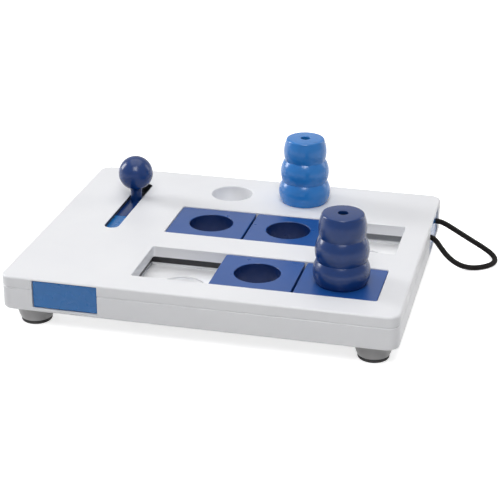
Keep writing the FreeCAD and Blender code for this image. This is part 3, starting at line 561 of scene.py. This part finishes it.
WEAVE_RISE = 0.17
CORE_SIDES = 12
CORE_INSET = 0.1
CORE_EVERY = 4


def route_curve():
    """The rope's smooth line: an order 3 NURBS spline with the route's points as control points."""
    curve = bpy.data.curves.new("rope_route", "CURVE")
    curve.dimensions = "3D"
    curve.resolution_u = ROUTE_RESOLUTION
    spline = curve.splines.new("NURBS")
    spline.points.add(len(ROPE_ROUTE) - 1)
    for point, place in zip(spline.points, ROPE_ROUTE):
        point.co = (*(Vector(place) * MM), 1.0)
    spline.order_u = 3
    spline.use_endpoint_u = True
    return bpy.data.objects.new("rope_route", curve)


def spline_points(step):
    """Points along the rope's spline at an even spacing, and their distances along it."""
    carrier = route_curve()
    bpy.context.scene.collection.objects.link(carrier)
    line = bpy.data.meshes.new_from_object(carrier)
    raw = np.array([vertex.co for vertex in line.vertices]) / MM
    bpy.data.meshes.remove(line)
    curve = carrier.data
    bpy.data.objects.remove(carrier)
    bpy.data.curves.remove(curve)
    run = np.concatenate([[0.0], np.cumsum(np.linalg.norm(np.diff(raw, axis=0), axis=1))])
    even = np.linspace(0.0, run[-1], int(run[-1] / step) + 1)
    return np.stack([np.interp(even, run, raw[:, axis]) for axis in range(3)], 1), even


def carried_frames(points):
    """Two unit vectors square to the line at each point, carried along it without twist: each step takes
    the last vector and removes its part along the new direction."""
    ahead = unit(np.gradient(points, axis=0))
    first = np.empty_like(ahead)
    last = np.cross(ahead[0], (0.0, 0.0, 1.0))
    for index, direction in enumerate(ahead):
        last = last - direction * np.dot(last, direction)
        last = last / np.linalg.norm(last)
        first[index] = last
    return first, np.cross(ahead, first)


def strand_rings(points, run, first, second, mean, way, start):
    """One strand of the braid, wound one way from a start angle: its middle lies at the angle
    way 2 pi s / pitch + start, at the mean radius plus way rise cos(strands 2 pi s / pitch)."""
    turn = 2 * math.pi * run / BRAID_PITCH
    angle = way * turn + start
    swing = way * WEAVE_RISE * np.cos(STRANDS_EACH_WAY * turn)
    out = first * np.cos(angle)[:, None] + second * np.sin(angle)[:, None]
    middle = points + out * (mean + swing)[:, None]
    wide = unit(np.cross(unit(np.gradient(middle, axis=0)), out))
    return ring_round(middle, wide, out, STRAND_SIDES, STRAND_WIDTH / 2, STRAND_THICKNESS / 2)


def braid(name, points, run, radius):
    """A round braid. Half of the strands wind each way, and each goes over one and under the next, since
    its radius swings as it turns. A strand's section is a flat ellipse, wide along the surface. A plain
    core fills the middle."""
    first, second = carried_frames(points)
    mean = radius - WEAVE_RISE - STRAND_THICKNESS / 2
    vertices, faces, count = [], [], 0
    for way in (1, -1):
        for strand in range(STRANDS_EACH_WAY):
            start = 2 * math.pi * strand / STRANDS_EACH_WAY
            rings = strand_rings(points, run, first, second, mean, way, start)
            vertices.append(rings.reshape(-1, 3))
            faces.extend(tube_faces(len(points), STRAND_SIDES, count))
            count += len(points) * STRAND_SIDES
    core_radius = mean - CORE_INSET
    core = ring_round(points[::CORE_EVERY], first[::CORE_EVERY], second[::CORE_EVERY], CORE_SIDES,
                      core_radius, core_radius)
    vertices.append(core.reshape(-1, 3))
    faces.extend(tube_faces(len(core), CORE_SIDES, count))
    return link_mesh(name, np.concatenate(vertices) * MM, faces)


def make_rope():
    """The braided loop, with a knot at each end."""
    points, run = spline_points(BRAID_STEP)
    rope = braid("rope_braid", points, run, ROPE_DIAMETER / 2)
    dress(rope, yarn)
    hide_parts("pull_rope")
    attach(rope, "rope_drawer")
    knots = [make_knot("near", ROPE_ROUTE[0]), make_knot("far", ROPE_ROUTE[-1])]


# Knots

KNOT_REACH = 2.1
TREFOIL_REACH = 3.0
KNOT_CORD_RADIUS = 1.05
KNOT_STEPS = 160
KNOT_SIDES = 12
KNOT_CLEAR = 0.02


def knot_line(centre):
    """A tight overhand knot as a closed trefoil, (-sin 3t, sin t + 2 sin 2t, cos t - 2 cos 2t), which
    reaches 3 from its middle before it is scaled."""
    t = np.linspace(0.0, 2 * math.pi, KNOT_STEPS, endpoint=False)
    shape = np.stack([-np.sin(3 * t), np.sin(t) + 2 * np.sin(2 * t), np.cos(t) - 2 * np.cos(2 * t)], 1)
    return centre + shape * KNOT_REACH / TREFOIL_REACH


def make_knot(side, place):
    """The knot that bears on the back of the drawer's front, which presses it flat there."""
    centre = np.array(place) - (KNOT_REACH, 0.0, 0.0)
    line = knot_line(centre)
    ahead = unit(np.roll(line, -1, axis=0) - np.roll(line, 1, axis=0))
    first = unit(np.cross(ahead, line - centre))
    rings = ring_round(line, first, np.cross(ahead, first), KNOT_SIDES, KNOT_CORD_RADIUS, KNOT_CORD_RADIUS)
    rings[..., 0] = np.minimum(rings[..., 0], place[0] - KNOT_CLEAR)
    piece = link_mesh("rope_knot_form_" + side, rings.reshape(-1, 3) * MM,
                      grid_faces(len(rings), KNOT_SIDES, wrap_rows=True, wrap_columns=True))
    merge_doubles(piece)
    dress(piece, yarn)
    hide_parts("rope_knot_" + side)
    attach(piece, "rope_drawer")
    return piece


# Stage, in metres and watts

FLOOR_REACH = 6.0
FLOOR_SEEN = (0.80, 0.80, 0.80)
FLOOR_BOUNCE = (0.62, 0.62, 0.62)
FLOOR_ROUGHNESS = 0.9
FLOOR_LIFT = 0.72
LIFT_FROM, LIFT_FULL = 0.35, 1.0
WORLD_STRENGTH = 0.03
LAMP_AIM = (0.0, 0.0, 0.04)
LAMPS = (
    # name, place, width, height, watts
    ("left_box", (-1.3, 0.25, 0.55), 0.4, 0.7, 9.8),
    ("right_box", (1.0, 0.8, 0.5), 0.4, 0.8, 2.4),
    ("top_box", (-0.05, 0.3, 1.5), 1.6, 1.6, 13.0),
    ("front_box", (0.22, -0.9, 1.17), 0.6, 0.6, 11.2),
)


def seen_directly(nodes, links):
    """1 for rays from the camera and for those that a gloss or a glass carries on, 0 for the rest."""
    path = nodes.new("ShaderNodeLightPath")
    seen = larger(nodes, links, path.outputs["Is Camera Ray"], path.outputs["Is Glossy Ray"])
    return larger(nodes, links, seen, path.outputs["Is Transmission Ray"])


def mix_by_sight(nodes, links, unseen, seen, output):
    """Sends one shader to direct sight and the other to the rest of the light."""
    mix = nodes.new("ShaderNodeMixShader")
    links.new(seen_directly(nodes, links), mix.inputs["Fac"])
    links.new(unseen, mix.inputs[1])
    links.new(seen, mix.inputs[2])
    links.new(mix.outputs["Shader"], nodes[output].inputs["Surface"])


def lifted_paper(nodes, links):
    """Pale paper with a glow of its own, which rises away from the object to make up for the lamps."""
    plain = nodes.new("ShaderNodeBsdfDiffuse")
    plain.inputs["Color"].default_value = (*FLOOR_SEEN, 1.0)
    away = vector_step(nodes, links, "LENGTH", nodes.new("ShaderNodeTexCoord").outputs["Object"])
    lift = nodes.new("ShaderNodeEmission")
    links.new(ramp(nodes, links, away, LIFT_FROM, LIFT_FULL, FLOOR_LIFT, 1.0), lift.inputs["Strength"])
    bright = nodes.new("ShaderNodeAddShader")
    links.new(plain.outputs["BSDF"], bright.inputs[0])
    links.new(lift.outputs["Emission"], bright.inputs[1])
    return bright.outputs["Shader"]


def make_floor():
    """A pale sheet. The eye sees it white, with the object's shadow on it, while the light that it throws
    back up onto the object is that of grey paper."""
    floor = link_mesh("floor", np.array([(-1, -1, 0), (1, -1, 0), (1, 1, 0), (-1, 1, 0)]) * FLOOR_REACH,
                      [(0, 1, 2, 3)], smooth=False)
    material, nodes, links, shader = new_material("floor_paper")
    shader.inputs["Base Color"].default_value = (*FLOOR_BOUNCE, 1.0)
    shader.inputs["Roughness"].default_value = FLOOR_ROUGHNESS
    shader.inputs["Specular IOR Level"].default_value = 0.0
    mix_by_sight(nodes, links, shader.outputs["BSDF"], lifted_paper(nodes, links), "Material Output")
    dress(floor, material)


def make_world():
    """An even, faint surround, seen as white."""
    world = bpy.data.worlds.new("studio")
    bpy.context.scene.world = world
    world.use_nodes = True
    nodes, links = world.node_tree.nodes, world.node_tree.links
    faint = nodes["Background"]
    faint.inputs["Color"].default_value = (1.0, 1.0, 1.0, 1.0)
    faint.inputs["Strength"].default_value = WORLD_STRENGTH
    plain = nodes.new("ShaderNodeBackground")
    plain.inputs["Strength"].default_value = 1.0
    mix_by_sight(nodes, links, faint.outputs["Background"], plain.outputs["Background"], "World Output")


def soft_box(name, place, width, height, watts):
    """A rectangular lamp that faces the object."""
    data = bpy.data.lights.new(name, "AREA")
    data.shape = "RECTANGLE"
    data.size = width
    data.size_y = height
    data.energy = watts
    lamp = bpy.data.objects.new(name, data)
    bpy.context.scene.collection.objects.link(lamp)
    lamp.location = place
    lamp.rotation_euler = (Vector(LAMP_AIM) - Vector(place)).to_track_quat("-Z", "Y").to_euler()


place_camera()
dress_nodes()
make_cones()
make_rope()
make_floor()
make_world()
for lamp in LAMPS:
    soft_box(*lamp)

bpy.context.scene.view_settings.view_transform = "Standard"
